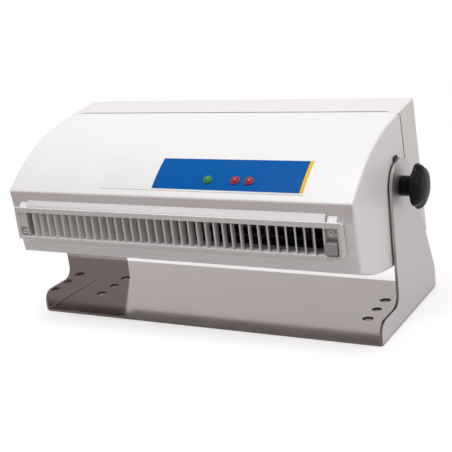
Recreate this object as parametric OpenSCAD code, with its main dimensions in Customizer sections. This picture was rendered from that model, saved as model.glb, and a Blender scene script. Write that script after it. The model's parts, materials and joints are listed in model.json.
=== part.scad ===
// Two-fan ionizing air blower: a wide head that tilts between the arms of a bent steel stand.
// World frame: origin under the middle of the stand's base, X along the width, the outlet faces -Y, Z up.
// Everything in the head is drawn level, about the tilt axis, and is then tipped nose-down by nose_down.

/* [Stand] */
// Overall width of the stand, outside both arms
stand_w = 445; // [435:1:470]
// Depth of the base, front to back
stand_d = 178; // [170:1:200]
// Thickness of the steel plate
plate_t = 3; // [2.5:0.5:4]
// Height of the tilt axis above the bench
axis_h = 151.5; // [148:0.5:170]
// How far the tilt axis stands behind the middle of the base
axis_y = -3; // [-6:1:6]
// Radius of the round head of each arm
arm_head_r = 30.5; // [26:0.5:33]
// Height of the arm's foot at the front
foot_h = 25.5; // [20:0.5:32]
// Radius of the foot's front corner
foot_corner_r = 13; // [6:1:16]
// Radius of the fillet between foot and neck
neck_fillet_r = 13; // [6:1:18]
// Radius of the heel at the back of each arm
heel_r = 30; // [22:1:34]
// Height of the heel's centre
heel_h = 19.5; // [12:0.5:26]
// Outside radius of the bend between base and arm
bend_r = 4; // [3.5:0.5:6]
// Distance of each row of base holes from the middle
hole_x = 182; // [160:1:195]
// Spacing of the holes in a row
hole_pitch = 28; // [22:1:34]
// Diameter of the outer base holes
hole_d = 12.7; // [8:0.1:14]
// Diameter of the middle base holes
mid_hole_d = 11.4; // [8:0.1:14]

/* [Head] */
// Gap between the head and each arm
side_gap = 2.3; // [2:0.1:3]
// Nose-down tilt of the head at rest, degrees
nose_down = 7; // [0:1:15]
// Height of the flat top above the tilt axis
top_z = 73; // [70:0.5:78]
// Depth of the belly below the tilt axis
belly_z = 88; // [84:0.5:94]
// Distance of the front face in front of the tilt axis
face_y = 121; // [117:0.5:126]
// Distance of the rear wall behind the tilt axis
rear_y = 76; // [73:0.5:80]
// Place of the seam between the covers, behind the tilt axis
seam_y = 30; // [26:0.5:31]
// Radius of the curved front
front_r = 210; // [200:1:230]
// Where the curved front runs into the flat top
curve_y = 5; // [0:0.5:10]
// Radius of the curved belly
belly_r = 293; // [270:1:330]
// Radius of the nose
nose_r = 4; // [2:0.5:6]
// Radius of the chin under the front face
chin_r = 3; // [2:0.5:5]
// Radius of the front cover's side edges
side_edge_r = 3; // [3:0.5:5]
// Wall of the moulded front cover
wall_t = 2.5; // [2:0.1:3.2]
// Thickness of the rear cover's sheet
sheet_t = 1.5; // [1:0.1:2]
// Width of the seam between the two covers
seam_gap = 1.5; // [0.8:0.1:2]

/* [Outlet grille] */
// Height of the grille's rim
rim_h = 38.3; // [36:0.1:42]
// Distance between each end of the grille's rim and the side of the head
rim_in = 11.2; // [10:0.2:14]
// Width of the rim's two end rails
rim_rail = 3.6; // [3:0.1:5]
// Thickness of the rim's plate
rim_t = 2; // [1.5:0.1:2.6]
// Lean of the grille's face, top edge back, degrees
grille_lean = 6.4; // [4:0.2:8]
// How far the middle of the rim stands out from the front face
rim_out = 12.75; // [11:0.25:15]
// Height of the rim's middle above the tilt axis
rim_z = -3.85; // [-6:0.05:-2]
// Number of openings between the vanes
openings = 36; // [24:1:40]
// Thickness of a vane
vane_t = 1.7; // [1.2:0.1:2.2]
// Depth of a vane from front to back
vane_depth = 13; // [10:0.5:14]
// Angle by which the outermost vanes fan out, degrees
fan_out = 33; // [0:1:36]
// Width of the well at the left end of the grille
left_well_w = 11; // [9:0.5:12]
// Width of the well at the right end of the grille
right_well_w = 15.8; // [15:0.2:17]

/* [Point cleaner] */
// Width of the square push button
button_w = 13; // [10:0.5:13.5]
// Height of the push button
button_h = 11.4; // [9:0.2:12]
// How far the button stands out of the rim
button_out = 3.6; // [3.5:0.1:6]
// Travel of the push button
button_travel = 3.5; // [2:0.25:3.5]

/* [Emitters] */
// Number of emitter needles
needles = 8; // [4:2:10]
// Spacing of the needles
needle_pitch = 44; // [36:1:48]
// Radius of a needle
needle_r = 0.75; // [0.5:0.05:1]

/* [Fans] */
// Side of a fan's square frame
fan_w = 120; // [110:1:120]
// Depth of a fan
fan_depth = 38; // [32:1:38]
// Distance of each fan's axis from the middle of the head
fan_x = 84; // [80:1:90]
// Height of the fans' axes above the tilt axis
fan_z = -8; // [-12:1:-5]
// Spacing of a fan's mounting holes
fan_hole_pitch = 105; // [95:1:106]
// Number of blades on a rotor
blades = 7; // [5:1:9]

/* [Clamp knobs] */
// Radius of a knob over its lobes
knob_r = 25; // [20:0.5:28]
// Overall length of a knob outside the arm
knob_len = 29; // [26:0.5:34]
// Radius of a knob's stem
stem_r = 11; // [9:0.5:12]
// Number of lobes
lobes = 6; // [5:1:8]
// Radius of the clamp stud
stud_r = 4; // [3:0.5:5]

/* [Front label] */
// Left end of the label, from the middle of the head
label_left = -87.5; // [-100:0.5:-60]
// Right end of the label, from the middle of the head
label_right = 160.3; // [140:0.1:170]
// Distance along the curve from the start of the front to the label's top edge
label_top = 80; // [70:0.5:85]
// Height of the label along the curve
label_h = 46.5; // [40:0.5:48]
// Thickness of the label
label_t = 0.4; // [0.3:0.1:0.8]

/* [Hidden] */

fine = 256;               // facets of the large visible cylinders
round_fn = 48;            // facets of the other cylinders
clear = 0.3;              // clearance between pieces that only lie side by side
running = 0.06;           // radial clearance of a shaft that turns in its hole
seat = 0.05;              // gap under a piece that stands on a sloped face
over = 1;                 // how far a cutting shape runs past the face that it cuts

head_w = stand_w - 2 * (plate_t + side_gap);
half_w = head_w / 2;
arm_in = stand_w / 2 - plate_t;

// ---- helpers ------------------------------------------------------------------------------

// Points on an arc about c, from angle a0 to a1 in n steps
function arc(c, r, a0, a1, n = 8) =
    [for (i = [0:n]) let (a = a0 + (a1 - a0) * i / n) [c[0] + r * cos(a), c[1] + r * sin(a)]];

// Outline of a rectangle with round corners
function rounded(w, h, r, n = 4) = concat(
    arc([w / 2 - r, h / 2 - r], r, 0, 90, n), arc([r - w / 2, h / 2 - r], r, 90, 180, n),
    arc([r - w / 2, r - h / 2], r, 180, 270, n), arc([w / 2 - r, r - h / 2], r, 270, 360, n));

// Extrudes an outline given in (Y, Z) along X
module along_x(x0, x1, pts) {
    translate([x0, 0, 0]) rotate([90, 0, 90]) linear_extrude(x1 - x0) polygon(pts);
}

// Extrudes an outline given in (X, Z) along Y
module along_y(y0, y1, pts) {
    translate([0, y1, 0]) rotate([90, 0, 0]) linear_extrude(y1 - y0) polygon(pts);
}

// A block between two values on each axis
module block(x, y, z) {
    translate([x[0], y[0], z[0]]) cube([x[1] - x[0], y[1] - y[0], z[1] - z[0]]);
}

module rod_x(r, x0, x1, fn = round_fn) {
    translate([x0, 0, 0]) rotate([0, 90, 0]) cylinder(r = r, h = x1 - x0, $fn = fn);
}

module rod_y(r, y0, y1, fn = round_fn) {
    translate([0, y1, 0]) rotate([90, 0, 0]) cylinder(r = r, h = y1 - y0, $fn = fn);
}

module rod_z(r, z0, z1, fn = round_fn) {
    translate([0, 0, z0]) cylinder(r = r, h = z1 - z0, $fn = fn);
}

// Mirrors a right-hand piece to the left where s is negative
module side(s) {
    mirror([s < 0 ? 1 : 0, 0, 0]) children();
}

// ---- places -------------------------------------------------------------------------------

// Level head frame, origin on the tilt axis, to world
module in_head() {
    translate([0, axis_y, axis_h]) rotate([nose_down, 0, 0]) children();
}

// Grille frame: origin in the middle of the rim's face, +Y into the head
module in_grille() {
    in_head() translate([0, -face_y - rim_out, rim_z]) rotate([-grille_lean, 0, 0]) children();
}

// A point of the grille frame in the head frame, and the front face in the grille frame
function grille_to_head(y, z) = [
    -face_y - rim_out + y * cos(grille_lean) + z * sin(grille_lean),
    rim_z - y * sin(grille_lean) + z * cos(grille_lean)];
function face_at(z) = (rim_out - z * sin(grille_lean)) / cos(grille_lean);

// Frame on the curved front at distance s along it: +Z out of the surface
front_cz = top_z - front_r;
function turn_at(s) = s / front_r * 180 / PI;
module on_curve(x, s) {
    in_head() translate([x, curve_y, front_cz]) rotate([turn_at(s), 0, 0])
        translate([0, 0, front_r]) children();
}

// ---- stand --------------------------------------------------------------------------------

// The straight back edge of an arm is tangent to the heel's circle and to the head's circle
heel_c = [stand_d / 2 - heel_r, heel_h];
arm_c = [axis_y, axis_h];
edge_turn = atan2(arm_c[1] - heel_c[1], arm_c[0] - heel_c[0]) - 90
    + asin((heel_r - arm_head_r) / norm(arm_c - heel_c));
arm_front = axis_y - arm_head_r;
foot_c = [foot_corner_r - stand_d / 2, foot_h - foot_corner_r];

arm_outline = concat(
    [[-stand_d / 2, 0], [stand_d / 2, 0]],
    arc(heel_c, heel_r, 0, edge_turn, 6),
    arc(arm_c, arm_head_r, edge_turn, 180, 30),
    arc([arm_front - neck_fillet_r, foot_h + neck_fillet_r], neck_fillet_r, 0, -90, 10),
    arc(foot_c, foot_corner_r, 90, 180, 10));

bend_c = stand_w / 2 - bend_r;
arm_top = axis_h + arm_head_r + over;

// The bent plate seen from the front: base, two bends and two arms
u_outline = concat(
    arc([-bend_c, bend_r], bend_r, 180, 270), arc([bend_c, bend_r], bend_r, 270, 360),
    [[stand_w / 2, arm_top], [arm_in, arm_top]],
    arc([bend_c, bend_r], bend_r - plate_t, 0, -90),
    arc([-bend_c, bend_r], bend_r - plate_t, 270, 180),
    [[-arm_in, arm_top], [-stand_w / 2, arm_top]]);

module stand_bracket() {
    color([0.74, 0.74, 0.75]) difference() {
        intersection() {
            along_y(-stand_d / 2, stand_d / 2, u_outline);
            along_x(-stand_w / 2 - over, stand_w / 2 + over, arm_outline);
        }
        for (x = [-hole_x, hole_x]) {
            for (y = [-hole_pitch, hole_pitch])
                translate([x, y, 0]) rod_z(hole_d / 2, -over, plate_t + over);
            translate([x, 0, 0]) rod_z(mid_hole_d / 2, -over, plate_t + over);
        }
        translate([0, axis_y, axis_h]) rod_x(stud_r + running, -stand_w / 2 - over, stand_w / 2 + over);
    }
}

// ---- head shell ---------------------------------------------------------------------------

belly_cz = belly_r - belly_z;
nose_c = [nose_r - face_y,
    front_cz + sqrt(pow(front_r - nose_r, 2) - pow(curve_y - nose_r + face_y, 2))];
nose_turn = atan2(nose_c[1] - front_cz, nose_c[0] - curve_y);
chin_c = [chin_r - face_y,
    belly_cz - sqrt(pow(belly_r - chin_r, 2) - pow(seam_y - chin_r + face_y, 2))];
chin_turn = atan2(chin_c[1] - belly_cz, chin_c[0] - seam_y) + 360;

// A cylinder about X between both sides, its two ends rounded by e
module barrel(r, w, e) {
    rotate([0, 90, 0]) rotate_extrude($fn = fine) polygon(concat([[0, -w]],
        arc([r - e, e - w], e, -90, 0, 6), arc([r - e, w - e], e, 0, 90, 6), [[0, w]]));
}

// The closed head ahead of y1, with every face moved in by t and its side edges rounded by e
module head_solid(t, y1, e) {
    w = half_w - t;
    intersection() {
        translate([0, 0, (top_z - belly_z) / 2])
            along_y(t - face_y, y1, rounded(2 * w, top_z + belly_z - 2 * t, e, 6));
        translate([0, y1, 0]) linear_extrude(2 * (top_z + belly_z), center = true)
            polygon(rounded(2 * w, 2 * (y1 + face_y - t), e, 6));
        union() {
            translate([0, curve_y, front_cz]) barrel(front_r - t, w, e);
            block([-half_w, half_w], [curve_y, y1 + over], [-2 * belly_z, top_z - t]);
        }
        union() {
            translate([0, seam_y, belly_cz]) barrel(belly_r - t, w, e);
            block([-half_w, half_w], [seam_y, y1 + over + rear_y], [t - belly_z, 2 * top_z]);
        }
    }
}

// What the round nose and the round chin take off the front face's two long edges
module nose_and_chin() {
    along_x(-half_w - over, half_w + over, concat(arc(nose_c, nose_r, 180, nose_turn),
        [[-face_y - over, nose_c[1] + 2 * nose_r], [-face_y - over, nose_c[1]]]));
    along_x(-half_w - over, half_w + over, concat(arc(chin_c, chin_r, 180, chin_turn),
        [[-face_y - over, chin_c[1] - 2 * chin_r], [-face_y - over, chin_c[1]]]));
}

// The tongue of the front cover lies inside the rear cover
tongue_t = 2.5;
tongue_in = sheet_t + 0.7;
tongue_y = [seam_y - 6, seam_y + 12];

module tongue(t) {
    in = tongue_in + t;
    block([in - half_w, half_w - in], [tongue_y[0], tongue_y[1] + t], [in - belly_z, top_z - in]);
}

// Small tabs at both ends of the rear cover's top edge reach forward over the front cover
tab_w = 11;
tab_reach = 4;
module corner_tabs(gap) {
    for (s = [-1, 1]) side(s) block([half_w - tab_w - gap, half_w + gap],
        [seam_y - tab_reach - gap, seam_y + seam_gap + over], [top_z - sheet_t - gap, top_z + gap]);
}

boss_r = 11;
insert_r = 6;
insert_len = 14;
cover_screw_in = 37;
cover_screw_x = [for (i = [-3:2:3]) i / 3 * (half_w - cover_screw_in)];
cover_screw_y = seam_y + 7;
cover_screw_r = 1.5;

module front_cover() {
    color([0.93, 0.93, 0.93]) {
        in_head() difference() {
            union() {
                difference() {
                    head_solid(0, seam_y, side_edge_r);
                    nose_and_chin();
                    head_solid(wall_t, seam_y + over, side_edge_r - wall_t + 0.5);
                }
                difference() {
                    tongue(0);
                    translate([0, -over, 0]) tongue(tongue_t);
                }
                for (s = [-1, 1]) side(s) rod_x(boss_r, half_w - wall_t - insert_len + 2, half_w - 1);
                for (x = cover_screw_x) translate([x, cover_screw_y, 0])
                    rod_z(3.5, tongue_in + 1 - belly_z, tongue_in + 8 - belly_z);
            }
            rod_x(stud_r + running, -half_w - over, half_w + over);
            for (s = [-1, 1]) side(s) rod_x(insert_r, half_w - insert_len - 2 * wall_t, half_w - wall_t);
            for (x = cover_screw_x) translate([x, cover_screw_y, 0])
                rod_z(cover_screw_r, -belly_z - over, tongue_in + 7 - belly_z);
            grille_hole();
            indicator_holes();
            corner_tabs(clear);
        }
    }
}

// Open mitred corners of the folded sheet, along the four edges that run front to back
slit_w = 0.8;
module corner_slits() {
    for (s = [-1, 1], z = [-belly_z, top_z]) side(s) translate([half_w, 0, z]) rotate([0, z > 0 ? 45 : -45, 0])
        block([-2 * sheet_t, 2 * sheet_t], [seam_y - tab_reach - over, rear_y - 2 * sheet_t],
            [-slit_w / 2, slit_w / 2]);
}

module rear_cover() {
    color([0.9, 0.89, 0.88]) in_head() difference() {
        union() {
            block([-half_w, half_w], [seam_y + seam_gap, rear_y], [-belly_z, top_z]);
            corner_tabs(0);
        }
        block([sheet_t - half_w, half_w - sheet_t], [seam_y - 2 * tab_reach, rear_y - sheet_t],
            [sheet_t - belly_z, top_z - sheet_t]);
        corner_slits();
        for (x = [-fan_x, fan_x]) translate([x, 0, fan_z]) {
            rod_y(intake_r, rear_y - 2 * sheet_t, rear_y + over);
            fan_holes(fan_screw_r + 0.2, rear_y - 2 * sheet_t, rear_y + over);
        }
        translate([inlet_x, rear_y, inlet_z]) inlet_cutout(clear);
        translate([inlet_x, rear_y, switch_z]) switch_cutout(clear);
        translate([speed_x, 0, speed_z]) rod_y(bushing_r + 0.2, rear_y - 2 * sheet_t, rear_y + over);
        for (x = cover_screw_x) translate([x, cover_screw_y, 0])
            rod_z(cover_screw_r + 0.2, -belly_z - over, 2 * sheet_t - belly_z);
    }
}

module cover_screws() {
    color([0.75, 0.75, 0.76]) in_head() for (x = cover_screw_x) translate([x, cover_screw_y, 0]) {
        rod_z(cover_screw_r - 0.05, -belly_z - 0.5, tongue_in + 6 - belly_z);
        rod_z(2 * cover_screw_r, -belly_z - 1.6, -belly_z);
    }
}

// ---- outlet grille ------------------------------------------------------------------------

top_rail = 5.8;
bottom_rail = 2.9;
core_wall = 2.2;
core_depth = 22;
rim_w = head_w - 2 * rim_in;
inner_w = rim_w - 2 * rim_rail;
bank_w = inner_w - left_well_w - right_well_w;
vane_pitch = bank_w / openings;
inner_x = [-inner_w / 2, inner_w / 2];
inner_z = [bottom_rail - rim_h / 2, rim_h / 2 - top_rail];
bank_x = [inner_x[0] + left_well_w, inner_x[1] - right_well_w];
core_x = [inner_x[0] - core_wall, inner_x[1] + core_wall];
core_z = [inner_z[0] - core_wall, inner_z[1] + core_wall];
vane_y = 1;
vane_bow = 0.5;
left_well_x = (inner_x[0] + bank_x[0]) / 2;
right_well_x = (inner_x[1] + bank_x[1]) / 2;
grille_screw = [[left_well_x, -10.4], [right_well_x, 8]];
grille_screw_r = 0.9;
well_floor = 7;
button_z = inner_z[0] + 8.5;
button_floor = 5.4 + button_travel + 0.1;

// Outline of a vane seen from above: a thin blade, bowed a little, that leans by angle a
function vane_line(a, u) = [-u * vane_depth * tan(a) + sign(a) * vane_bow * sin(180 * u),
    vane_y + u * vane_depth];
function vane(a, n = 4) = concat(
    [for (i = [0:n]) vane_line(a, i / n) + [vane_t / 2, 0]],
    [for (i = [n:-1:0]) vane_line(a, i / n) - [vane_t / 2, 0]],
    [vane_line(a, 0) - [vane_t / 5, 0.6], vane_line(a, 0) + [vane_t / 5, -0.6]]);

module vanes() {
    for (i = [1:openings - 1]) {
        x = bank_x[0] + i * vane_pitch;
        a = fan_out * (2 * i / openings - 1);
        translate([x, 0, inner_z[0] - 0.5]) linear_extrude(inner_z[1] - inner_z[0] + 1) polygon(vane(a));
    }
    for (x = bank_x) block([x - vane_t / 2, x + vane_t / 2], [vane_y, core_depth], inner_z + [-0.5, 0.5]);
}

// The sloped shoulders above and below the vanes, from the core to the front face
shoulder_top = 25.4;
shoulder_bottom = -28.5;
clip_top = 23;
module shoulders() {
    along_x(bank_x[0], bank_x[1], [[6, core_z[1] - 1], [6, core_z[1] + 3.4],
        [face_at(shoulder_top), shoulder_top], [face_at(core_z[1] - 1), core_z[1] - 1]]);
    along_x(bank_x[0], bank_x[1], [[8, core_z[0] + 1], [face_at(core_z[0] + 1), core_z[0] + 1],
        [face_at(shoulder_bottom), shoulder_bottom], [8, core_z[0] - 3.4]]);
    for (x = [left_well_x, right_well_x])
        along_x(x - 5, x + 5, [[4.5, core_z[1] - 1], [4.5, core_z[1] + 2.2],
            [face_at(clip_top) - 1, clip_top], [face_at(clip_top), clip_top],
            [face_at(core_z[1] - 1), core_z[1] - 1]]);
}

// The two wells: a panel with a screw boss in each, and the button's pocket in the right one
module wells() {
    split = [grille_screw[0][1] + 5.5, grille_screw[1][1] - 6.5];
    block([inner_x[0] - 1, bank_x[0]], [2, 4], [split[0], inner_z[1] + 1]);
    block([inner_x[0] - 1, bank_x[0]], [well_floor, well_floor + 2], [inner_z[0] - 1, split[0] + 1]);
    block([inner_x[0] - 1, bank_x[0]], [2, well_floor + 2], [split[0], split[0] + 1.5]);
    block([bank_x[1], inner_x[1] + 1], [well_floor, well_floor + 2], [split[1], inner_z[1] + 1]);
    difference() {
        block([bank_x[1], inner_x[1] + 1], [button_floor, button_floor + 2], [inner_z[0] - 1, split[1] + 1]);
        translate([right_well_x, 0, button_z]) rod_y(stem_hole_r, 0, 2 * button_floor);
    }
    block([bank_x[1], inner_x[1] + 1], [well_floor - 1, button_floor + 2], [split[1], split[1] + 1.5]);
    for (p = grille_screw) translate([p[0], 0, p[1]]) rod_y(2.7, 1.6, well_floor + 1, 32);
}

stem_hole_r = 2.5 + running;

module outlet_grille() {
    color([0.86, 0.84, 0.84]) in_grille() difference() {
        union() {
            difference() {
                union() {
                    block([-rim_w / 2, rim_w / 2], [0, rim_t], [-rim_h / 2, rim_h / 2]);
                    block(core_x, [0, core_depth], core_z);
                    shoulders();
                }
                block(inner_x, [-over, core_depth + over], inner_z);
            }
            vanes();
            wells();
        }
        for (p = grille_screw) translate([p[0], 0, p[1]]) {
            rod_y(1.7, 0, well_floor - 1, 32);
            rod_y(grille_screw_r + 0.1, 0, 2 * core_depth, 32);
        }
    }
}

module grille_hole() {
    in_grille_local() block(core_x + [-clear, clear], [0, core_depth], core_z + [-clear, clear]);
}

module in_grille_local() {
    translate([0, -face_y - rim_out, rim_z]) rotate([-grille_lean, 0, 0]) children();
}

module grille_screws() {
    color([0.6, 0.6, 0.62]) in_grille() for (p = grille_screw) translate([p[0], 0, p[1]]) {
        rod_y(1.5, well_floor - 2.6, well_floor - 1, 32);
        rod_y(grille_screw_r, well_floor - 2, core_depth + 8, 32);
    }
}

// ---- emitters and point cleaner -----------------------------------------------------------

frame_y = [core_depth + clear, core_depth + 24];
frame_x = [core_x[0] + 2, core_x[1] - 2];
frame_z = [core_z[0] - 2, core_z[1] + 1];
frame_t = 2;
needle_z = -1;
needle_y = [frame_y[0] + 2, frame_y[1] - 6];
rail_z = [needle_z - 8.6, needle_z - 5.6];
rail_y = [frame_y[0] + 3.2, frame_y[0] + 8.7];
function needle_x(i) = (i - (needles - 1) / 2) * needle_pitch;

module emitter_frame() {
    color([0.83, 0.82, 0.8]) in_grille() difference() {
        union() {
            difference() {
                block(frame_x, frame_y, frame_z);
                block(frame_x + [frame_t, -frame_t], [frame_y[0] + 2, frame_y[1] + over],
                    frame_z + [frame_t, -frame_t]);
                block(bank_x + [2, -2], [frame_y[0] - over, frame_y[0] + 3], inner_z);
            }
            block(frame_x + [1, -1], [frame_y[1] - 9, frame_y[1] - 3], [needle_z - 3, needle_z + 3]);
            for (i = [0:2:needles - 2]) let (x = needle_x(i) + needle_pitch / 2)
                block([x - 1, x + 1], [frame_y[1] - 9, frame_y[1]], frame_z + [1, -1]);
            for (p = grille_screw) translate([p[0], 0, p[1]])
                rod_y(2.6, well_floor + 2, frame_y[0] + 8, 32);
        }
        for (p = grille_screw) translate([p[0], 0, p[1]]) rod_y(grille_screw_r, 0, core_depth + 9, 32);
        translate([right_well_x, 0, button_z]) rod_y(stem_hole_r, frame_y[0] - over, frame_y[0] + 3);
        for (i = [0:needles - 1]) translate([needle_x(i), 0, needle_z])
            rod_y(needle_r, frame_y[1] - 10, needle_y[1], 24);
    }
}

module emitter_needles() {
    color([0.72, 0.72, 0.74]) in_grille() for (i = [0:needles - 1]) translate([needle_x(i), 0, needle_z]) {
        rod_y(needle_r, needle_y[0] + 4, needle_y[1], 24);
        translate([0, needle_y[0] + 4, 0]) rotate([90, 0, 0]) cylinder(r1 = needle_r, r2 = 0.1, h = 4, $fn = 24);
    }
}

module cleaner_button() {
    w = button_w / 2;
    h = button_h / 2;
    color([0.72, 0.7, 0.7]) in_grille() translate([right_well_x, 0, button_z]) {
        along_y(-button_out, 5.4, rounded(button_w, button_h, 1));
        rod_y(2.5, 5, rail_y[0]);
    }
}

module cleaner_rail() {
    color([0.35, 0.35, 0.36]) in_grille() {
        block([needle_x(0) - 6, right_well_x + 4], rail_y, rail_z);
        block([right_well_x - 4, right_well_x + 4], rail_y, [button_z - 4, button_z + 4]);
    }
}

module cleaner_brushes() {
    color([0.2, 0.2, 0.2]) in_grille() for (i = [0:needles - 1]) translate([needle_x(i), 0, 0]) difference() {
        block([-3, 3], rail_y + [0.5, -0.5], [rail_z[1], needle_z + 4.2]);
        translate([0, 0, needle_z]) rod_y(needle_r + 0.5, 0, 2 * rail_y[1], 24);
    }
}

// ---- label and indicators -----------------------------------------------------------------

lamp_x = [45.4, 78.7, 95.4];
lamp_s = 111.5;
lamp_r = 5.2;
lamp_stem_r = 4;
lamp_stem = 9;
film_gap = 0.03;
label_face = film_gap + label_t;

module indicator_holes() {
    for (x = lamp_x) translate([x, curve_y, front_cz]) rotate([turn_at(lamp_s), 0, 0])
        rod_z(lamp_stem_r + 0.2, front_r - 4 * wall_t, front_r + 2 * wall_t);
}

module front_label() {
    mid = label_top + label_h / 2;
    half = front_r * sin(turn_at(label_h / 2));
    color([0.1, 0.35, 0.65]) difference() {
        in_head() translate([0, curve_y, front_cz]) difference() {
            rod_x(front_r + film_gap + label_t, label_left, label_right, fine);
            rod_x(front_r + film_gap, label_left - over, label_right + over, fine);
        }
        on_curve(0, mid) {
            block([label_left - over, label_right + over], [half, 3 * front_r], [-3 * front_r, front_r]);
            block([label_left - over, label_right + over], [-3 * front_r, -half], [-3 * front_r, front_r]);
            block([label_left - over, label_right + over], [-3 * front_r, 3 * front_r],
                [-3 * front_r, -front_r / 2]);
        }
        in_head() indicator_holes();
    }
}

// A lamp lens: a stem through the cover, a thin flange and a low dome
module lamp(x) {
    on_curve(x, lamp_s) {
        rod_z(lamp_stem_r, -lamp_stem, label_face + 0.2);
        rod_z(lamp_r, label_face + 0.07, label_face + 1.2);
        intersection() {
            translate([0, 0, label_face + 3.4 - 6.5]) sphere(r = 6.5, $fn = round_fn);
            rod_z(lamp_r - 0.5, label_face + 0.1, label_face + 5);
        }
    }
}

module power_indicator() { color([0.1, 0.6, 0.3]) lamp(lamp_x[0]); }

module fan_indicator() { color([0.75, 0.08, 0.15]) lamp(lamp_x[1]); }

module alarm_indicator() { color([0.75, 0.08, 0.15]) lamp(lamp_x[2]); }

module indicator_board() {
    color([0.1, 0.4, 0.2]) on_curve(0, lamp_s)
        block([lamp_x[0] - 10, lamp_x[2] + 10], [-8, 8], [-lamp_stem - 1.6, -lamp_stem]);
}

// ---- air duct and what stands on it -------------------------------------------------------

fan_y = [rear_y - sheet_t - fan_depth, rear_y - sheet_t];
duct_t = 2;
duct_front_y = frame_y[1] + 0.2;
duct_top_front = grille_to_head(duct_front_y, frame_z[1]);
duct_top_back = [fan_y[0] - 0.2, fan_z + fan_w / 2];
duct_slope = atan2(duct_top_back[1] - duct_top_front[1], duct_top_back[0] - duct_top_front[0]);

// The duct's bounds at its front end, in the grille frame, and at the fans, in the head frame
module duct_form(t, reach) {
    hull() {
        in_grille() block(frame_x + [t, -t], [duct_front_y - reach, duct_front_y + 0.1], frame_z + [t, -t]);
        in_head() block([t - fan_x - fan_w / 2, fan_x + fan_w / 2 - t],
            [duct_top_back[0] - 0.1, duct_top_back[0] + reach],
            [fan_z - fan_w / 2 + t, fan_z + fan_w / 2 - t]);
    }
}

module air_duct() {
    color([0.8, 0.8, 0.78]) difference() {
        duct_form(0, 0);
        duct_form(duct_t, over);
    }
}

// Frame on the duct's sloped top: origin at distance u behind its front edge, +Z out of it
module on_duct(x, u) {
    in_head() translate([x, duct_top_front[0], duct_top_front[1]])
        rotate([duct_slope, 0, 0]) translate([0, u, seat]) children();
}

board_x = [10, 130];
board_u = [52, 100];
standoff_h = 6;
board_t = 1.6;

module board_standoffs() {
    color([0.8, 0.7, 0.4]) for (x = board_x + [5, -5], u = board_u + [5, -5])
        on_duct(x, u) cylinder(r = 2.5, h = standoff_h, $fn = 6);
}

module control_board() {
    color([0.1, 0.4, 0.2]) on_duct(0, 0) block(board_x, board_u, [standoff_h, standoff_h + board_t]);
}

module board_components() {
    top = standoff_h + board_t;
    color([0.15, 0.15, 0.17]) on_duct(0, 0) {
        for (x = [24, 38]) translate([x, board_u[0] + 12, 0]) rod_z(5, top, top + 15, 24);
        block([board_x[0] + 6, board_x[0] + 26], board_u + [26, -6], [top, top + 11]);
        block([board_x[0] + 44, board_x[0] + 74], board_u + [10, -12], [top, top + 14]);
        block([board_x[1] - 32, board_x[1] - 10], board_u + [8, -30], [top, top + 8]);
        block([board_x[1] - 36, board_x[1] - 10], board_u + [24, -16], [top, top + 3]);
    }
}

module high_voltage_supply() {
    color([0.16, 0.16, 0.18]) on_duct(-75, 0) {
        block([-45, 45], [52, 98], [0, 22]);
        for (s = [-1, 1]) block(s > 0 ? [44, 54] : [-54, -44], [66, 84], [0, 2]);
    }
}

// ---- fans ---------------------------------------------------------------------------------

fan_bore_r = fan_w / 2 - 2.5;
intake_r = fan_w / 2 - 3;
fan_screw_r = 2;
hub_r = 20.5;
shaft_r = 2;
tip_gap = 1.2;
guard_t = 6;
filter_t = 3;

module fan_holes(r, y0, y1) {
    for (sx = [-1, 1], sz = [-1, 1])
        translate([sx * fan_hole_pitch / 2, 0, sz * fan_hole_pitch / 2]) rod_y(r, y0, y1, 24);
}

module at_fan(s) {
    in_head() translate([s * fan_x, fan_y[0], fan_z]) children();
}

module fan_housing(s) {
    color([0.12, 0.12, 0.13]) at_fan(s) difference() {
        union() {
            difference() {
                along_y(0, fan_depth, rounded(fan_w, fan_w, 5));
                rod_y(fan_bore_r, -over, fan_depth + over, 96);
            }
            rod_y(hub_r, 0.2, 3.6);
            rod_y(5, 1, fan_depth - 14);
            rod_y(hub_r - 5, 6, fan_depth - 16);
            for (a = [45:90:315]) rotate([0, a, 0]) block([hub_r - 2, fan_bore_r + 1], [0.6, 3], [-2.5, 2.5]);
        }
        rod_y(shaft_r + running, -over, fan_depth, 32);
        fan_holes(fan_screw_r + 0.1, -over, fan_depth + over);
    }
}

module fan_rotor(s) {
    y0 = 5;
    y1 = fan_depth - 6;
    color([0.2, 0.2, 0.21]) at_fan(s) {
        difference() {
            rod_y(hub_r, y0, y1);
            rod_y(hub_r - 2.5, y0 - over, y1 - 3);
        }
        rod_y(shaft_r, 0.5, y1 - 1, 32);
        intersection() {
            difference() {
                rod_y(fan_bore_r - tip_gap, y0, y1 - 1, 96);
                rod_y(hub_r - 1, 0, fan_depth);
            }
            for (i = [0:blades - 1]) rotate([0, i * 360 / blades, 0]) fan_blade();
        }
    }
}

// A blade is a slice of a cylinder's wall whose axis points outwards, so it curves along the flow
module fan_blade() {
    r = 34;
    translate([0, fan_depth / 2 + 20, -18]) difference() {
        intersection() {
            rod_x(r, hub_r - 1, fan_w / 2);
            block([0, fan_w], [-r, -4], [0, r]);
        }
        rod_x(r - 1.8, 0, fan_w);
    }
}

module left_fan_housing() { fan_housing(-1); }

module right_fan_housing() { fan_housing(1); }

module left_fan_rotor() { fan_rotor(-1); }

module right_fan_rotor() { fan_rotor(1); }

module intake_filter(s) {
    color([0.3, 0.3, 0.32]) at_fan(s) rod_y(intake_r - 1, fan_depth + sheet_t + 0.2,
        fan_depth + sheet_t + 0.2 + filter_t, 96);
}

module left_intake_filter() { intake_filter(-1); }

module right_intake_filter() { intake_filter(1); }

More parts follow.
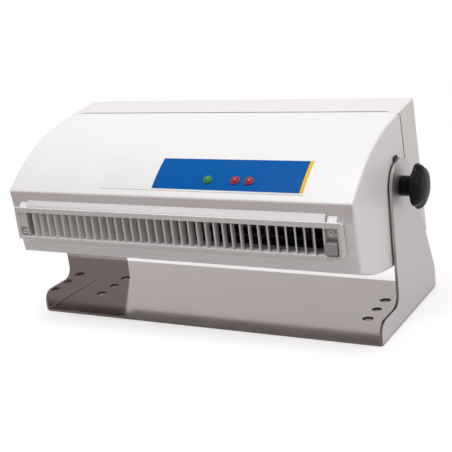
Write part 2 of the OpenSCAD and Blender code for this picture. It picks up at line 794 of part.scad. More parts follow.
// A moulded guard: a square border with a ring grille that holds the filter against the sheet
module intake_guard(s) {
    y0 = fan_depth + sheet_t;
    y1 = y0 + guard_t;
    grill_y = y1 - 2.2;
    color([0.14, 0.14, 0.15]) at_fan(s) difference() {
        union() {
            difference() {
                along_y(y0, y1, rounded(fan_w - 1, fan_w - 1, 6));
                rod_y(intake_r, y0 - over, y1 + over, 96);
            }
            for (r = [9:7.5:intake_r - 3]) difference() {
                rod_y(r + 0.9, grill_y, y1, 64);
                rod_y(r - 0.9, grill_y - over, y1 + over, 64);
            }
            rod_y(4, grill_y, y1);
            for (a = [0:45:135]) rotate([0, a, 0]) block([-intake_r - 1, intake_r + 1], [grill_y, y1], [-1, 1]);
        }
        fan_holes(fan_screw_r + 0.1, y0 - over, y1 + over);
    }
}

module left_intake_guard() { intake_guard(-1); }

module right_intake_guard() { intake_guard(1); }

module fan_screws() {
    y1 = fan_depth + sheet_t + guard_t;
    color([0.7, 0.7, 0.72]) for (s = [-1, 1]) at_fan(s) {
        fan_holes(fan_screw_r, y1 - 26, y1 + 0.5);
        fan_holes(1.9 * fan_screw_r, y1, y1 + 2.2);
    }
}

// ---- rear controls ------------------------------------------------------------------------

control_in = 34;
inlet_x = control_in - half_w;
speed_x = half_w - control_in;
inlet_z = 26;
switch_z = -26;
inlet_w = 21;
inlet_h = 28;
inlet_depth = 24;
flange_w = 24;
flange_h = 50;
flange_t = 2.5;
socket_w = 16.6;
socket_h = 24.6;
switch_w = 20;
switch_h = 26;
rocker_w = 14;
rocker_r = 10;
rocker_swing = 20;
speed_z = 0;
bushing_r = 4.5;
pot_shaft_r = 3;

module inlet_cutout(gap) {
    block([-inlet_w / 2 - gap, inlet_w / 2 + gap], [-2 * sheet_t, over], [-inlet_h / 2 - gap, inlet_h / 2 + gap]);
}

module switch_cutout(gap) {
    block([-switch_w / 2 - gap, switch_w / 2 + gap], [-2 * sheet_t, over],
        [-switch_h / 2 - gap, switch_h / 2 + gap]);
}

module at_rear(x, z) {
    in_head() translate([x, rear_y, z]) children();
}

// A mains inlet: a recessed socket with two corners cut off, and a screw hole at each end of its flange
module power_inlet() {
    w = socket_w / 2;
    h = socket_h / 2;
    cut = 5;
    color([0.1, 0.1, 0.11]) at_rear(inlet_x, inlet_z) difference() {
        union() {
            block([-inlet_w / 2, inlet_w / 2], [-inlet_depth, 1], [-inlet_h / 2, inlet_h / 2]);
            along_y(0, flange_t, rounded(flange_w, flange_h, 4));
        }
        along_y(4 - inlet_depth, flange_t + over,
            [[-w, -h], [w - cut, -h], [w, cut - h], [w, h - cut], [w - cut, h], [-w, h]]);
        for (z = [-20, 20]) translate([0, 0, z]) rod_y(1.7, -over, flange_t + over, 24);
    }
}

module inlet_pins() {
    color([0.8, 0.75, 0.5]) at_rear(inlet_x, inlet_z) for (p = [[-2, -7], [-2, 7], [2, 0]])
        block([p[0] - 2, p[0] + 2], [4 - inlet_depth, -4], [p[1] - 1, p[1] + 1]);
}

module switch_bezel() {
    color([0.1, 0.1, 0.11]) at_rear(inlet_x, switch_z) difference() {
        union() {
            block([-switch_w / 2, switch_w / 2], [-18, 1], [-switch_h / 2, switch_h / 2]);
            along_y(0, 2, rounded(switch_w + 4, switch_h + 4, 1.5));
        }
        block([-rocker_w / 2 - 0.5, rocker_w / 2 + 0.5], [-rocker_r - 3, 2 + over],
            [-rocker_r - 1, rocker_r + 1]);
        rod_x(1.5 + running, -switch_w / 2 + 1, switch_w / 2 - 1, 24);
    }
}

// The rocker turns on its own pin; its face is a shallow V, so one end always stands out
module switch_rocker() {
    lean = rocker_swing / 2;
    color([0.08, 0.08, 0.09]) at_rear(inlet_x, switch_z) rotate([lean, 0, 0]) {
        intersection() {
            rod_x(rocker_r, -rocker_w / 2, rocker_w / 2);
            along_x(-rocker_w / 2, rocker_w / 2, [[-6, -5], [-6, 5], [2, 12], [4.2, 12], [2.4, 0],
                [4.2, -12], [2, -12]]);
        }
        rod_x(1.5, -rocker_w / 2 - 2, rocker_w / 2 + 2, 24);
    }
}

module speed_control() {
    color([0.3, 0.3, 0.32]) at_rear(speed_x, speed_z) difference() {
        union() {
            rod_y(12, -sheet_t - 12, -sheet_t);
            rod_y(bushing_r, -sheet_t - 1, 2);
        }
        rod_y(pot_shaft_r + running, -sheet_t - 10, 2 + over, 32);
    }
}

module speed_knob() {
    color([0.1, 0.1, 0.11]) at_rear(speed_x, speed_z) {
        rod_y(pot_shaft_r, -sheet_t - 8, 4, 32);
        difference() {
            rod_y(10, 2.6, 13);
            for (i = [0:17]) rotate([0, i * 20, 0]) translate([11, 0, 0]) rod_y(1.6, 4.5, 13 + over, 16);
            block([-0.6, 0.6], [12.2, 13 + over], [3, 11]);
        }
    }
}

// ---- tilt axis ----------------------------------------------------------------------------

washer_r = 28;
stud_in = 16;
washer_tab = 10;
washer_rise = 3;

module pivot_inserts() {
    color([0.78, 0.62, 0.3]) in_head() for (s = [-1, 1]) side(s) difference() {
        rod_x(insert_r, half_w - insert_len - wall_t, half_w - wall_t);
        rod_x(stud_r + running, 0, half_w, round_fn);
    }
}

module friction_washers() {
    color([0.08, 0.08, 0.08]) in_head() for (s = [-1, 1]) side(s) difference() {
        union() {
            rod_x(washer_r, half_w, half_w + side_gap, 96);
            block([half_w, half_w + side_gap], washer_tab * [-0.5, 0.5],
                [washer_r - 3, arm_head_r + washer_rise]);
        }
        rod_x(stud_r + running, 0, half_w + side_gap + over);
    }
}

// Side view of a knob: stem, hollow flare, rim and low dome, turned about X
knob_profile = concat([[0, 0], [stem_r, 0]],
    arc([stem_r + 9, knob_len * 0.32], 9, 180, 118, 6),
    arc([knob_r - 2.6, knob_len * 0.62], 2.6, -60, 60, 6),
    arc([0, knob_len - 52], 52, 66, 90, 8));

module knob_grip(s) {
    color([0.07, 0.07, 0.08]) in_head() side(s) translate([half_w + side_gap + plate_t, 0, 0]) difference() {
        rotate([0, 90, 0]) rotate_extrude($fn = 96) polygon(knob_profile);
        for (i = [0:lobes - 1]) rotate([(i + 0.5) * 360 / lobes, 0, 0])
            translate([0, 0, knob_r + 6.5]) rod_x(10, stem_r, knob_len + over);
        rod_x(stud_r, -over, stud_in);
    }
}

module knob_stud(s) {
    color([0.75, 0.75, 0.76]) in_head() side(s)
        rod_x(stud_r, half_w - insert_len, half_w + side_gap + plate_t + stud_in);
}

module left_knob_grip() { knob_grip(-1); }

module right_knob_grip() { knob_grip(1); }

module left_knob_stud() { knob_stud(-1); }

module right_knob_stud() { knob_stud(1); }

stand_bracket();
front_cover();
rear_cover();
outlet_grille();
grille_screws();
front_label();
power_indicator();
fan_indicator();
alarm_indicator();
indicator_board();
air_duct();
emitter_frame();
emitter_needles();
cleaner_button();
cleaner_rail();
cleaner_brushes();
left_fan_housing();
right_fan_housing();
left_fan_rotor();
right_fan_rotor();
left_intake_filter();
right_intake_filter();
left_intake_guard();
right_intake_guard();
fan_screws();
high_voltage_supply();
control_board();
board_components();
board_standoffs();
power_inlet();
inlet_pins();
switch_bezel();
switch_rocker();
speed_control();
speed_knob();
pivot_inserts();
friction_washers();
left_knob_grip();
left_knob_stud();
right_knob_grip();
right_knob_stud();
cover_screws();
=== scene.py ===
"""Finish, light and view of the ionizing blower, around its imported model."""
import json
import math

import bpy
from mathutils import Matrix, Vector


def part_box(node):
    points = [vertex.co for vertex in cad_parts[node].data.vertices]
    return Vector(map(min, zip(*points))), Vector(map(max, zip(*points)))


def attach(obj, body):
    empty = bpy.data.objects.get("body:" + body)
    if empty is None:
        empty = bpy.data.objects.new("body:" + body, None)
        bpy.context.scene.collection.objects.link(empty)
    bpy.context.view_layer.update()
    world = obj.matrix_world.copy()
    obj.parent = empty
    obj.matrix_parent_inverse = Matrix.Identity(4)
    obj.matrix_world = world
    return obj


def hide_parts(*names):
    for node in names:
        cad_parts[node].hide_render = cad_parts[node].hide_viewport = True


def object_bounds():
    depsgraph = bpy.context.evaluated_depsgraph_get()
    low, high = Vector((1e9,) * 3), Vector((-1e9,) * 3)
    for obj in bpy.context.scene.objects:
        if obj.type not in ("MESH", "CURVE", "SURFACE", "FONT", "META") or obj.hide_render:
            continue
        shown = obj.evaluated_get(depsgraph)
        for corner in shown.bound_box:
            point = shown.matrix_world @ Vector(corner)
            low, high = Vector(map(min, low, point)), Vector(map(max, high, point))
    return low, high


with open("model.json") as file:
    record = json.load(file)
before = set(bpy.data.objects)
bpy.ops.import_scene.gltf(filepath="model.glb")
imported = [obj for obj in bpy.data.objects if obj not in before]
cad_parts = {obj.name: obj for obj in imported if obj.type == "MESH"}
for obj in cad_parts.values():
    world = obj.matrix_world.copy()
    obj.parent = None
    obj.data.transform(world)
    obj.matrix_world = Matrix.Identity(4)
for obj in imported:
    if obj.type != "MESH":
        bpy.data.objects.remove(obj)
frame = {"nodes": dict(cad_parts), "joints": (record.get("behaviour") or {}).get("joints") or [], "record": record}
CAD_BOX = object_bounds()
CAD_BOX_LOW, CAD_BOX_HIGH = (Vector(corner) for corner in CAD_BOX)
MM = 0.001
JOINTS = {joint["name"]: joint for joint in frame["joints"]}
TILT_AXIS = Vector(JOINTS["head_tilt"]["pos_m"])
HEAD_REAR = Vector(JOINTS["left_fan_spin"]["axis"])
HEAD_UP = Vector((1, 0, 0)).cross(HEAD_REAR)
SEAM = TILT_AXIS + 30 * MM * HEAD_REAR


# ---- node materials ------------------------------------------------------------------------

# The Mix node has several sockets of one name, so they go by number.
MIX_SHARE = 0
MIX_NUMBERS = (2, 3)
MIX_COLOURS = (6, 7)
MIX_NUMBER_OUT = 0
MIX_COLOUR_OUT = 2


class Nodes:
    """A tree of nodes around one shader, whose inputs are plain values or other nodes' outputs."""

    def __init__(self, owner, shader):
        owner.use_nodes = True
        self.tree = owner.node_tree
        self.shader = self.tree.nodes[shader]

    def put(self, socket, value, node=None):
        """Sets a socket to a value, or links another node's output to it."""
        entry = (node or self.shader).inputs[socket]
        if isinstance(value, bpy.types.NodeSocket):
            self.tree.links.new(value, entry)
        else:
            entry.default_value = value

    def add(self, kind, inputs=(), **settings):
        """A new node, with its settings and its inputs as (socket, value) pairs."""
        node = self.tree.nodes.new(kind)
        for setting, value in settings.items():
            setattr(node, setting, value)
        for socket, value in inputs:
            self.put(socket, value, node)
        return node

    def ranged(self, source, low, high, start=0.0, end=1.0):
        """The source's stretch from start to end, spread from low to high."""
        return self.add("ShaderNodeMapRange", [("Value", source), ("From Min", start),
                                               ("From Max", end), ("To Min", low),
                                               ("To Max", high)]).outputs["Result"]

    def mixed(self, share, first, second):
        """The first colour where share is 0, and the second where it is 1."""
        node = self.add("ShaderNodeMix", [(MIX_SHARE, share)], data_type="RGBA")
        for socket, colour in zip(MIX_COLOURS, (first, second)):
            linked = isinstance(colour, bpy.types.NodeSocket)
            self.put(socket, colour if linked else (*colour, 1), node)
        return node.outputs[MIX_COLOUR_OUT]

    def multiplied(self, *colours):
        """Two colour outputs multiplied."""
        node = self.add("ShaderNodeMix", [(MIX_SHARE, 1), *zip(MIX_COLOURS, colours)],
                        data_type="RGBA", blend_type="MULTIPLY")
        return node.outputs[MIX_COLOUR_OUT]

    def blended(self, share, *numbers):
        """The first of two numbers where share is 0, and the second where it is 1."""
        node = self.add("ShaderNodeMix", [(MIX_SHARE, share), *zip(MIX_NUMBERS, numbers)],
                        data_type="FLOAT")
        return node.outputs[MIX_NUMBER_OUT]

    def math(self, operation, first, second=0.0):
        """One step of arithmetic on two values or outputs."""
        return self.add("ShaderNodeMath", [(0, first), (1, second)], operation=operation).outputs[0]

    def seen_directly(self):
        """1 for what the camera, a mirror or glass sees, and 0 for light that falls on surfaces."""
        ray = self.add("ShaderNodeLightPath").outputs
        bent = self.math("MAXIMUM", ray["Is Glossy Ray"], ray["Is Transmission Ray"])
        return self.math("MAXIMUM", ray["Is Camera Ray"], bent)


class Paint(Nodes):
    """A Principled material, with places and sizes on the object in metres."""

    def __init__(self, name, colour, roughness, **sockets):
        self.material = bpy.data.materials.new(name)
        super().__init__(self.material, "Principled BSDF")
        self.put("Base Color", (*colour, 1))
        self.put("Roughness", roughness)
        for socket, value in sockets.items():
            self.put(socket.replace("_", " "), value)
        coordinates = self.add("ShaderNodeTexCoord")
        self.place = coordinates.outputs["Object"]
        self.facing = coordinates.outputs["Normal"]
        self.relief = None

    def stretched(self, stretch):
        """The place on the object, scaled along each axis."""
        if stretch == (1, 1, 1):
            return self.place
        return self.add("ShaderNodeMapping", [("Vector", self.place),
                                              ("Scale", stretch)]).outputs["Vector"]

    def noise(self, size, detail=2, stretch=(1, 1, 1)):
        """Soft noise with blotches of about that size."""
        return self.add("ShaderNodeTexNoise", [("Vector", self.stretched(stretch)), ("Scale", 1 / size),
                                               ("Detail", detail)]).outputs["Fac"]

    def cells(self, size):
        """Round cells of about that size: 0 in the middle of each, and more outward."""
        return self.add("ShaderNodeTexVoronoi", [("Vector", self.place),
                                                 ("Scale", 1 / size)]).outputs["Distance"]

    def parts(self, vector):
        """The X, Y and Z of a vector."""
        return self.add("ShaderNodeSeparateXYZ", [("Vector", vector)]).outputs

    def aside(self):
        """How far a point lies from the middle plane, on either side."""
        return self.math("ABSOLUTE", self.parts(self.place)[0])

    def along(self, origin, direction):
        """How far a point lies from origin along a direction."""
        offset = self.add("ShaderNodeVectorMath", [(0, self.place), (1, origin)], operation="SUBTRACT")
        return self.add("ShaderNodeVectorMath", [(0, offset.outputs[0]), (1, direction)],
                        operation="DOT_PRODUCT").outputs["Value"]

    def bump(self, height, depth):
        """Lays relief of that depth over the relief that is there."""
        node = self.add("ShaderNodeBump", [("Height", height), ("Distance", depth)])
        if self.relief:
            self.put("Normal", self.relief, node)
        self.relief = node.outputs["Normal"]
        self.put("Normal", self.relief)

    def wandering(self, size, dark, light):
        """A tone that wanders between two near ones, in blotches of about that size."""
        return self.mixed(self.ranged(self.noise(size, 3), 0, 1, 0.3, 0.7), dark, light)


def toned(colour, factor):
    """The colour, lighter or darker by a factor."""
    return tuple(min(1, part * factor) for part in colour)


def grained(paint, roughness, grain=0.4 * MM, depth=0.02 * MM):
    """Gives a paint the fine grain of a mould and a gloss that wanders a little."""
    paint.bump(paint.noise(grain, 3), depth)
    paint.put("Roughness", paint.ranged(paint.noise(6 * MM, 3), roughness - 0.04, roughness + 0.05))


def moulded(name, colour, roughness, grain=0.4 * MM, depth=0.02 * MM, **sockets):
    """Moulded plastic with a fine grain and a faint wander of tone."""
    paint = Paint(name, colour, roughness, **sockets)
    paint.put("Base Color", paint.wandering(35 * MM, toned(colour, 0.96), toned(colour, 1.03)))
    grained(paint, roughness, grain, depth)
    return paint


def orange_peel(name, colour, roughness):
    """Sprayed enamel with low rounded cells under a thin gloss, and the tone to colour it with."""
    paint = Paint(name, colour, roughness, Coat_Weight=0.12, Coat_Roughness=0.25)
    tone = paint.wandering(60 * MM, toned(colour, 0.985), toned(colour, 1.01))
    paint.bump(paint.noise(1.6 * MM, 2), 0.05 * MM)
    paint.bump(paint.noise(0.5 * MM, 2), 0.012 * MM)
    return paint, tone


def front_enamel():
    """The front cover's enamel: painted shade in the seam, and a band of painted shade above the outlet."""
    untoned, painted_shade_tone = (1, 1, 1), (0.8, 0.75, 0.75)
    dark = (0.06, 0.055, 0.055)
    face = -121 * MM
    band_from, band_to = 8 * MM, 22 * MM
    paint, tone = orange_peel("cover_plastic", (0.85, 0.835, 0.84), 0.42)
    # Painted shade: the cover behind the seam is painted near black, as the shadow in the gap.
    seam_painted_shade = paint.ranged(paint.along(SEAM, HEAD_REAR), 0, 1, 0, 0.2 * MM)
    # Painted shade: the forward face above the outlet, under the nose, is painted darker.
    forward = paint.ranged(paint.along(TILT_AXIS, HEAD_REAR), 1, 0, face + 0.1 * MM, face + 1.2 * MM)
    above = paint.ranged(paint.along(TILT_AXIS, HEAD_UP), 0, 1, band_from, band_to)
    shade = paint.mixed(paint.math("MULTIPLY", forward, above), untoned, painted_shade_tone)
    paint.put("Base Color", paint.mixed(seam_painted_shade, paint.multiplied(tone, shade), dark))
    return paint


def rear_enamel():
    """The rear cover's enamel: a painted shadow on its edge at the seam, but not on its two top corners."""
    dark = (0.12, 0.1, 0.1)
    edge_full, edge_end = 2.0 * MM, 2.4 * MM
    corner_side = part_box("rear_cover")[1].x - 14 * MM
    corner_height = 68 * MM
    step = 0.1 * MM
    paint, tone = orange_peel("cover_metal", (0.81, 0.775, 0.77), 0.45)
    # Painted shadow: the edge at the seam is painted dark, except at the cover's two top corners.
    edge = paint.ranged(paint.along(SEAM, HEAD_REAR), 1, 0, edge_full, edge_end)
    beside = paint.ranged(paint.aside(), 0, 1, corner_side, corner_side + step)
    high = paint.ranged(paint.along(TILT_AXIS, HEAD_UP), 0, 1, corner_height, corner_height + step)
    elsewhere = paint.ranged(paint.math("MULTIPLY", beside, high), 1, 0)
    paint.put("Base Color", paint.mixed(paint.math("MULTIPLY", edge, elsewhere), tone, dark))
    return paint


def rolled_steel():
    """Sheet steel: fine rolling lines along X and near-mirror faces.

    Cut edges and bends are rougher, painted in shade low down and painted light high on the arms.
    The arms' outer faces are satin and painted lighter as a reflection, and the lowest strip of
    each arm is painted as dark as a shaded cut edge.
    """
    # The outer colour is a painted reflection on the arms' outer faces; the two edge colours are painted shade
    # (low) and painted light (high).
    colour, outer_painted_reflection = (0.342, 0.296, 0.288), (0.47, 0.447, 0.463)
    painted_shade_edge, painted_light_edge = (0.14, 0.12, 0.115), (0.46, 0.39, 0.36)
    outer_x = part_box("stand_bracket")[1].x
    arm_depth, foot_height = 3.5 * MM, 3 * MM
    dark_to, light_from = 55 * MM, 100 * MM
    paint = Paint("rolled_steel", colour, 0.12, Metallic=1.0)
    lines = paint.noise(0.35 * MM, 3, (0.012, 1, 1))
    smudges = paint.noise(45 * MM, 4)
    normal = paint.parts(paint.facing)
    height = paint.parts(paint.place)[2]
    aside = paint.aside()
    on_arm = paint.math("GREATER_THAN", aside, outer_x - arm_depth)
    outside = paint.math("GREATER_THAN", aside, outer_x - 0.1 * MM)
    flat = paint.blended(on_arm, paint.math("ABSOLUTE", normal[2]),
                         paint.math("ABSOLUTE", normal[0]))
    # The cut edges and bends, which carry the painted shade and light.
    cut = paint.ranged(flat, 1, 0, 0.9, 0.98)
    face = paint.mixed(smudges, paint.mixed(outside, toned(colour, 0.93), toned(outer_painted_reflection, 0.95)),
                       paint.mixed(outside, toned(colour, 1.06), toned(outer_painted_reflection, 1.03)))
    # Painted light high on the arms, and painted shade on each arm's lowest strip.
    painted_light_share = paint.math("MULTIPLY", on_arm, paint.ranged(height, 0, 1, dark_to, light_from))
    painted_shade_foot = paint.math("MULTIPLY", on_arm, paint.math("LESS_THAN", height, foot_height))
    tone = paint.mixed(cut, face, paint.mixed(painted_light_share, painted_shade_edge, painted_light_edge))
    paint.put("Base Color", paint.mixed(painted_shade_foot, tone, painted_shade_edge))
    gloss = paint.math("ADD", paint.ranged(lines, 0.0, 0.03),
                       paint.ranged(smudges, 0.055, 0.09, 0.3, 0.7))
    dull = paint.math("ADD", paint.ranged(cut, 0, 0.3), paint.ranged(outside, 0, 0.38))
    paint.put("Roughness", paint.math("ADD", gloss, dull))
    paint.bump(lines, 0.0025 * MM)
    return paint


def turned_metal(name, colour, roughness):
    """A machined or plated metal with fine tool marks."""
    paint = Paint(name, colour, roughness, Metallic=1.0)
    marks = paint.noise(0.25 * MM, 2)
    paint.put("Base Color", paint.mixed(paint.noise(4 * MM, 3), toned(colour, 0.85),
                                        toned(colour, 1.1)))
    paint.put("Roughness", paint.ranged(marks, roughness - 0.06, roughness + 0.08))
    paint.bump(marks, 0.004 * MM)
    return paint


def label_film():
    """The printed film: bare white at the left, a blue field between white lines, a yellow end."""
    low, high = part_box("front_label")
    slope = Vector((0, high.y - low.y, high.z - low.z))
    white_share = 0.268
    blue_from = low.x + white_share * (high.x - low.x)
    yellow_from = high.x - 3.6 * MM
    line_from = slope.length / 2 - 2.2 * MM
    edge = 0.05 * MM
    paint = Paint("label_film", (0.8, 0.8, 0.8), 0.3, Specular_IOR_Level=0.05)
    across = paint.along((0, 0, 0), (1, 0, 0))
    up = paint.math("ABSOLUTE", paint.along((low + high) / 2, slope.normalized()))
    tone = paint.noise(20 * MM, 3)
    white = paint.mixed(tone, (0.83, 0.83, 0.84), (0.87, 0.87, 0.87))
    blue = paint.mixed(tone, (0.0005, 0.096, 0.36), (0.001, 0.108, 0.4))
    yellow = paint.mixed(tone, (0.93, 0.50, 0.012), (0.96, 0.55, 0.02))
    in_blue = paint.ranged(across, 0, 1, blue_from - edge, blue_from + edge)
    in_yellow = paint.ranged(across, 0, 1, yellow_from - edge, yellow_from + edge)
    in_line = paint.ranged(up, 0, 1, line_from, line_from + 2 * edge)
    coloured = paint.mixed(in_yellow, blue, yellow)
    paint.put("Base Color", paint.mixed(in_line, paint.mixed(in_blue, white, coloured), white))
    paint.bump(paint.noise(3 * MM, 2), 0.01 * MM)
    paint.put("Roughness", paint.ranged(tone, 0.26, 0.36))
    return paint


def lens(name, colour, glow):
    """A lens that glows a little, its rounded facets painted light in the middle and shade outward."""
    paint = Paint(name, colour, 0.15, Specular_IOR_Level=0.35, Emission_Strength=glow)
    cells = paint.cells(1.3 * MM)
    # Painted light and shade on each facet: lighter in its middle, darker toward its edges.
    paint.put("Base Color", paint.mixed(paint.ranged(cells, 0, 1, 0.1, 0.6), toned(colour, 1.25),
                                        toned(colour, 0.45)))
    paint.put("Emission Color", (*colour, 1))
    paint.bump(cells, 0.12 * MM)
    return paint


def circuit_board():
    """Green solder mask over fine tracks."""
    mask, copper = (0.02, 0.13, 0.055), (0.05, 0.24, 0.1)
    paint = Paint("circuit_board", mask, 0.35, Coat_Weight=0.4, Coat_Roughness=0.15)
    bricks = paint.add("ShaderNodeTexBrick", [("Vector", paint.place), ("Scale", 140),
                                              ("Mortar Size", 0.03)])
    tracks = bricks.outputs["Fac"]
    paint.put("Base Color", paint.mixed(tracks, mask, copper))
    paint.bump(tracks, 0.03 * MM)
    return paint


def open_foam():
    """Dark filter foam with open pores, painted in shade inside them."""
    pore_painted_shade, web = (0.01, 0.01, 0.011), (0.09, 0.09, 0.095)
    paint = Paint("filter_foam", web, 0.95, Sheen_Weight=0.3)
    pores = paint.cells(1.1 * MM)
    # Painted shade: the inside of each pore is painted near black.
    paint.put("Base Color", paint.mixed(paint.ranged(pores, 0, 1, 0.15, 0.5), pore_painted_shade, web))
    paint.bump(pores, 0.6 * MM)
    return paint


def bristles():
    """Tufts of short dark bristles."""
    dark, light = (0.012, 0.012, 0.013), (0.09, 0.09, 0.09)
    paint = Paint("brush_fibre", dark, 0.7, Sheen_Weight=0.4)
    hair = paint.noise(0.3 * MM, 2, (1, 0.05, 1))
    paint.put("Base Color", paint.mixed(hair, dark, light))
    paint.bump(hair, 0.2 * MM)
    return paint


def washer_rubber():
    """Black rubber with a dry, blotched face."""
    dark, light = (0.012, 0.012, 0.013), (0.028, 0.028, 0.03)
    paint = Paint("washer_rubber", dark, 0.75)
    paint.put("Base Color", paint.wandering(5 * MM, dark, light))
    paint.bump(paint.noise(0.5 * MM, 3), 0.04 * MM)
    return paint


def grille_moulding():
    """The grille's satin plastic, painted lighter on the bars and ledges that face up, as light from above."""
    shade, painted_light_tone = (0.70, 0.665, 0.66), (0.9, 0.885, 0.9)
    roughness = 0.42
    paint = Paint("grille_plastic", shade, roughness)
    # Painted light: faces turned up take the lighter tone.
    lift = paint.add("ShaderNodeVectorMath", [(0, paint.facing), (1, HEAD_UP)],
                     operation="DOT_PRODUCT")
    up = paint.ranged(lift.outputs["Value"], 0, 1, 0.2, 0.5)
    paint.put("Base Color", paint.mixed(up, shade, painted_light_tone))
    grained(paint, roughness)
    return paint


STEEL = (0.62, 0.61, 0.6)
FINISHES = {
    "stand_steel": rolled_steel(),
    "cover_plastic": front_enamel(),
    "cover_metal": rear_enamel(),
    "grille_plastic": grille_moulding(),
    "screw_steel": turned_metal("screw_steel", STEEL, 0.3),
    "label_film": label_film(),
    "green_lens": lens("green_lens", (0.006, 0.28, 0.06), 0.1),
    "red_lens": lens("red_lens", (0.4, 0.004, 0.018), 0.08),
    "circuit_board": circuit_board(),
    "duct_plastic": moulded("duct_plastic", (0.05, 0.05, 0.052), 0.55),
    "needle_steel": turned_metal("needle_steel", STEEL, 0.2),
    "button_plastic": moulded("button_plastic", (0.33, 0.315, 0.31), 0.4, 0.25 * MM),
    "black_plastic": moulded("black_plastic", (0.022, 0.022, 0.024), 0.45, 0.5 * MM, 0.03 * MM),
    "brush_fibre": bristles(),
    "filter_foam": open_foam(),
    "potting_black": moulded("potting_black", (0.03, 0.03, 0.034), 0.5),
    "brass": turned_metal("brass", (0.62, 0.43, 0.16), 0.28),
    "washer_rubber": washer_rubber(),
    "knob_plastic": moulded("knob_plastic", (0.004, 0.0036, 0.0038), 0.36, 0.7 * MM, 0.012 * MM,
                            Specular_IOR_Level=0.1),
}


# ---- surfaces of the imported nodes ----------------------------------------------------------

FLAT_SHEETS = ("rear_cover",)
EDGE_RADII = {"stand_bracket": 0.4 * MM, "front_cover": 0.8 * MM, "rear_cover": 0.6 * MM,
              "outlet_grille": 0.15 * MM, "front_label": 0}
OTHER_EDGE_RADIUS = 0.2 * MM


def soften(obj, radius, joins_planes):
    """Joins coplanar faces if asked, rounds the sharp edges and shades the curves smooth."""
    weld = obj.modifiers.new("weld", "WELD")
    weld.merge_threshold = 0.002 * MM
    if joins_planes:
        planes = obj.modifiers.new("planes", "DECIMATE")
        planes.decimate_type = "DISSOLVE"
        planes.angle_limit = math.radians(0.3)
    if radius:
        bevel = obj.modifiers.new("edges", "BEVEL")
        bevel.width = radius
        bevel.segments = 2
        bevel.limit_method = "ANGLE"
        bevel.angle_limit = math.radians(35)
    obj.data.shade_smooth()
    smooth = obj.modifiers.new("normals", "WEIGHTED_NORMAL")
    smooth.keep_sharp = True
    smooth.weight = 80


def dress():
    """Gives each node the finish of its material slot and its edge radius."""
    for row in frame["record"]["subparts"]:
        node = row["node"]
        obj = frame["nodes"][node]
        obj.data.materials.clear()
        obj.data.materials.append(FINISHES[row["material_slot"]].material)
        soften(obj, EDGE_RADII.get(node, OTHER_EDGE_RADIUS), node in FLAT_SHEETS)


# ---- clamp knobs ---------------------------------------------------------------------------

KNOB_RIM = 25 * MM
KNOB_STEM = 11 * MM
KNOB_TURNS = 120
LOBES = 6
FLUTE = 2.6 * MM
FLUTES_FROM = 14 * MM


def arc(centre, radius, start, end, steps):
    """Points (along the axis, out from it) on an arc, with degrees from the outward side."""
    angles = [math.radians(start + (end - start) * i / steps) for i in range(steps + 1)]
    return [(centre[0] + radius * math.sin(a), centre[1] + radius * math.cos(a)) for a in angles]


def knob_profile(length):
    """Side view, from the arm to the face's dome: stem, hollow flare, rounded rim, low dome."""
    fillet, corner = 0.8 * MM, 2.6 * MM
    neck, back = 0.33 * length, 0.54 * length
    flare_steps, dome_steps = 8, 12
    swell = KNOB_RIM - corner - KNOB_STEM
    stem = arc((fillet, KNOB_STEM - fillet), fillet, -90, 0, 3)
    flare = [(neck + (back - neck) * share, KNOB_STEM + swell * share ** 1.25)
             for share in (i / flare_steps for i in range(flare_steps + 1))]
    rim = arc((back + corner, KNOB_RIM - corner), corner, -75, 55, 7)
    front, dome_r = rim[-1]
    dome = [(front + (length - front) * math.sin(a), dome_r * math.cos(a))
            for a in (math.radians(90 * i / dome_steps) for i in range(1, dome_steps))]
    return stem + flare + rim + dome


def fluted(out, angle):
    """The radius at an angle about the axis, where round flutes cut in between the lobes."""
    share = max(0.0, min(1.0, (out - FLUTES_FROM) / (KNOB_RIM - FLUTES_FROM)))
    return out - share * FLUTE * (0.5 - 0.5 * math.cos(LOBES * angle)) ** 1.6


def knob_faces(rings, outward):
    """Faces between rings of points, and fans that close both ends on two last points."""
    faces = []
    for ring in range(rings - 1):
        near, far = ring * KNOB_TURNS, (ring + 1) * KNOB_TURNS
        for turn in range(KNOB_TURNS):
            after = (turn + 1) % KNOB_TURNS
            faces.append((near + turn, near + after, far + after, far + turn))
    last = (rings - 1) * KNOB_TURNS
    for turn in range(KNOB_TURNS):
        after = (turn + 1) % KNOB_TURNS
        faces.append((rings * KNOB_TURNS, after, turn))
        faces.append((rings * KNOB_TURNS + 1, last + turn, last + after))
    return faces if outward else [face[::-1] for face in faces]


def clamp_knob(side):
    """A lobed grip on the outside of an arm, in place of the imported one."""
    node = side + "_knob_grip"
    low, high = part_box(node)
    start, sign = (low.x, 1) if side == "right" else (high.x, -1)
    length = high.x - low.x
    profile = knob_profile(length)
    points = []
    for along, out in profile:
        for turn in range(KNOB_TURNS):
            angle = 2 * math.pi * turn / KNOB_TURNS
            radius = fluted(out, angle)
            points.append((start + sign * along, TILT_AXIS.y + radius * math.sin(angle),
                           TILT_AXIS.z + radius * math.cos(angle)))
    for along in (0, length):
        points.append((start + sign * along, TILT_AXIS.y, TILT_AXIS.z))
    mesh = bpy.data.meshes.new(side + "_clamp_knob")
    mesh.from_pydata(points, [], knob_faces(len(profile), side == "right"))
    mesh.shade_smooth()
    mesh.materials.append(FINISHES["knob_plastic"].material)
    knob = bpy.data.objects.new(side + "_clamp_knob", mesh)
    bpy.context.scene.collection.objects.link(knob)
    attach(knob, side + "_knob")
    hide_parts(node)


# ---- studio --------------------------------------------------------------------------------

CAMERA_AZIMUTH = 30.48
CAMERA_ELEVATION = 17.05
CAMERA_ROLL = -6.685
CAMERA_PLACE = Vector((0.6112, -1.0435, 0.4649))
CAMERA_LENS = 84.28


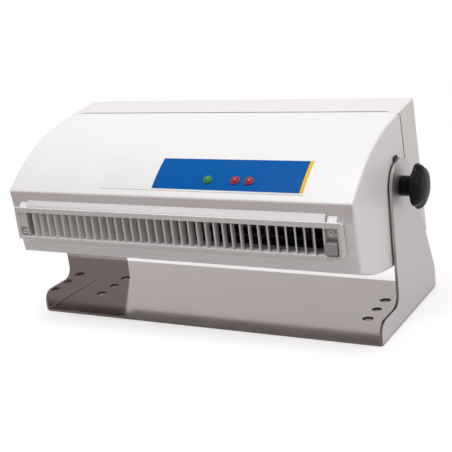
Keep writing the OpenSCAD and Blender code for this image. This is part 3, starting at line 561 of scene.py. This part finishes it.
def turned(azimuth, elevation, roll=0.0):
    """How a camera or lamp is turned that looks in from azimuth round and elevation up, in degrees."""
    facing = Matrix.Rotation(math.radians(azimuth), 3, "Z")
    lift = Matrix.Rotation(math.radians(90 - elevation), 3, "X")
    return facing @ lift @ Matrix.Rotation(math.radians(roll), 3, "Z")


def set_camera():
    """The view of the whole blower from its front right."""
    camera = bpy.data.objects.new("camera", bpy.data.cameras.new("camera"))
    bpy.context.scene.collection.objects.link(camera)
    camera.data.lens = CAMERA_LENS
    camera.data.sensor_width = 36
    camera.data.clip_start = 0.01
    camera.data.clip_end = 50
    rotation = turned(CAMERA_AZIMUTH, CAMERA_ELEVATION, CAMERA_ROLL)
    camera.matrix_world = Matrix.Translation(CAMERA_PLACE) @ rotation.to_4x4()
    bpy.context.scene.camera = camera


def soft_box(name, azimuth, elevation, distance, size, watts, tone=(1, 1, 1)):
    """A square lamp at that bearing, aimed at the middle of the object."""
    lamp = bpy.data.lights.new(name, "AREA")
    lamp.size = size
    lamp.energy = watts
    lamp.color = tone
    obj = bpy.data.objects.new(name, lamp)
    bpy.context.scene.collection.objects.link(obj)
    rotation = turned(azimuth, elevation)
    place = (CAD_BOX_LOW + CAD_BOX_HIGH) / 2 + rotation @ Vector((0, 0, distance))
    obj.matrix_world = Matrix.Translation(place) @ rotation.to_4x4()


def set_world():
    """A white backdrop that lights the blower with a weaker, warmer glow."""
    warm, white = (1, 0.89, 0.88), (1, 1, 1)
    light, shown = 0.3, 1.0
    world = bpy.data.worlds.new("studio")
    nodes = Nodes(world, "Background")
    seen = nodes.seen_directly()
    nodes.put("Color", nodes.mixed(seen, warm, white))
    nodes.put("Strength", nodes.ranged(seen, light, shown))
    bpy.context.scene.world = world


def set_floor():
    """A pale floor that reads as white to the camera, takes the shadow, and has painted shade under the stand."""
    reach = 6.0
    fade_from, fade_to = 0.5, 2.5
    near_glow, far_glow, painted_shade_glow = 0.6, 0.86, 0.14
    mesh = bpy.data.meshes.new("floor")
    level = CAD_BOX_LOW.z - 0.05 * MM
    corners = [(reach * x, reach * y, level) for x, y in ((-1, -1), (1, -1), (1, 1), (-1, 1))]
    mesh.from_pydata(corners, [], [(0, 1, 2, 3)])
    floor = bpy.data.objects.new("floor", mesh)
    bpy.context.scene.collection.objects.link(floor)
    paint = Paint("floor", (0.55, 0.55, 0.55), 0.9)
    paint.put("Base Color", paint.wandering(0.4, (0.55, 0.53, 0.525), (0.57, 0.55, 0.545)))
    side, back, _ = paint.parts(paint.place)
    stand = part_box("stand_bracket")[1]
    in_width = paint.math("LESS_THAN", paint.math("ABSOLUTE", side), stand.x - 1 * MM)
    in_depth = paint.math("LESS_THAN", paint.math("ABSOLUTE", back), stand.y - 1 * MM)
    # Painted shade: under the stand the floor glows far less, so it shows dark through the stand's holes.
    covered = paint.math("MULTIPLY", in_width, in_depth)
    distance = paint.math("SQRT", paint.math("ADD", paint.math("MULTIPLY", side, side),
                                             paint.math("MULTIPLY", back, back)))
    open_glow = paint.ranged(distance, near_glow, far_glow, fade_from, fade_to)
    glow = paint.blended(covered, open_glow, painted_shade_glow)
    paint.put("Emission Color", (1, 1, 1, 1))
    paint.put("Emission Strength", paint.math("MULTIPLY", glow, paint.seen_directly()))
    mesh.materials.append(paint.material)


def set_studio():
    """The world, the floor, a lamp nearly overhead and a weaker one at the right."""
    set_world()
    set_floor()
    soft_box("key", azimuth=-5, elevation=78, distance=1.6, size=0.9, watts=18.5, tone=(0.97, 1, 1))
    soft_box("right", azimuth=85, elevation=20, distance=1.8, size=0.9, watts=6.5)
    bpy.context.scene.view_settings.view_transform = "Standard"


set_camera()
dress()
clamp_knob("left")
clamp_knob("right")
set_studio()
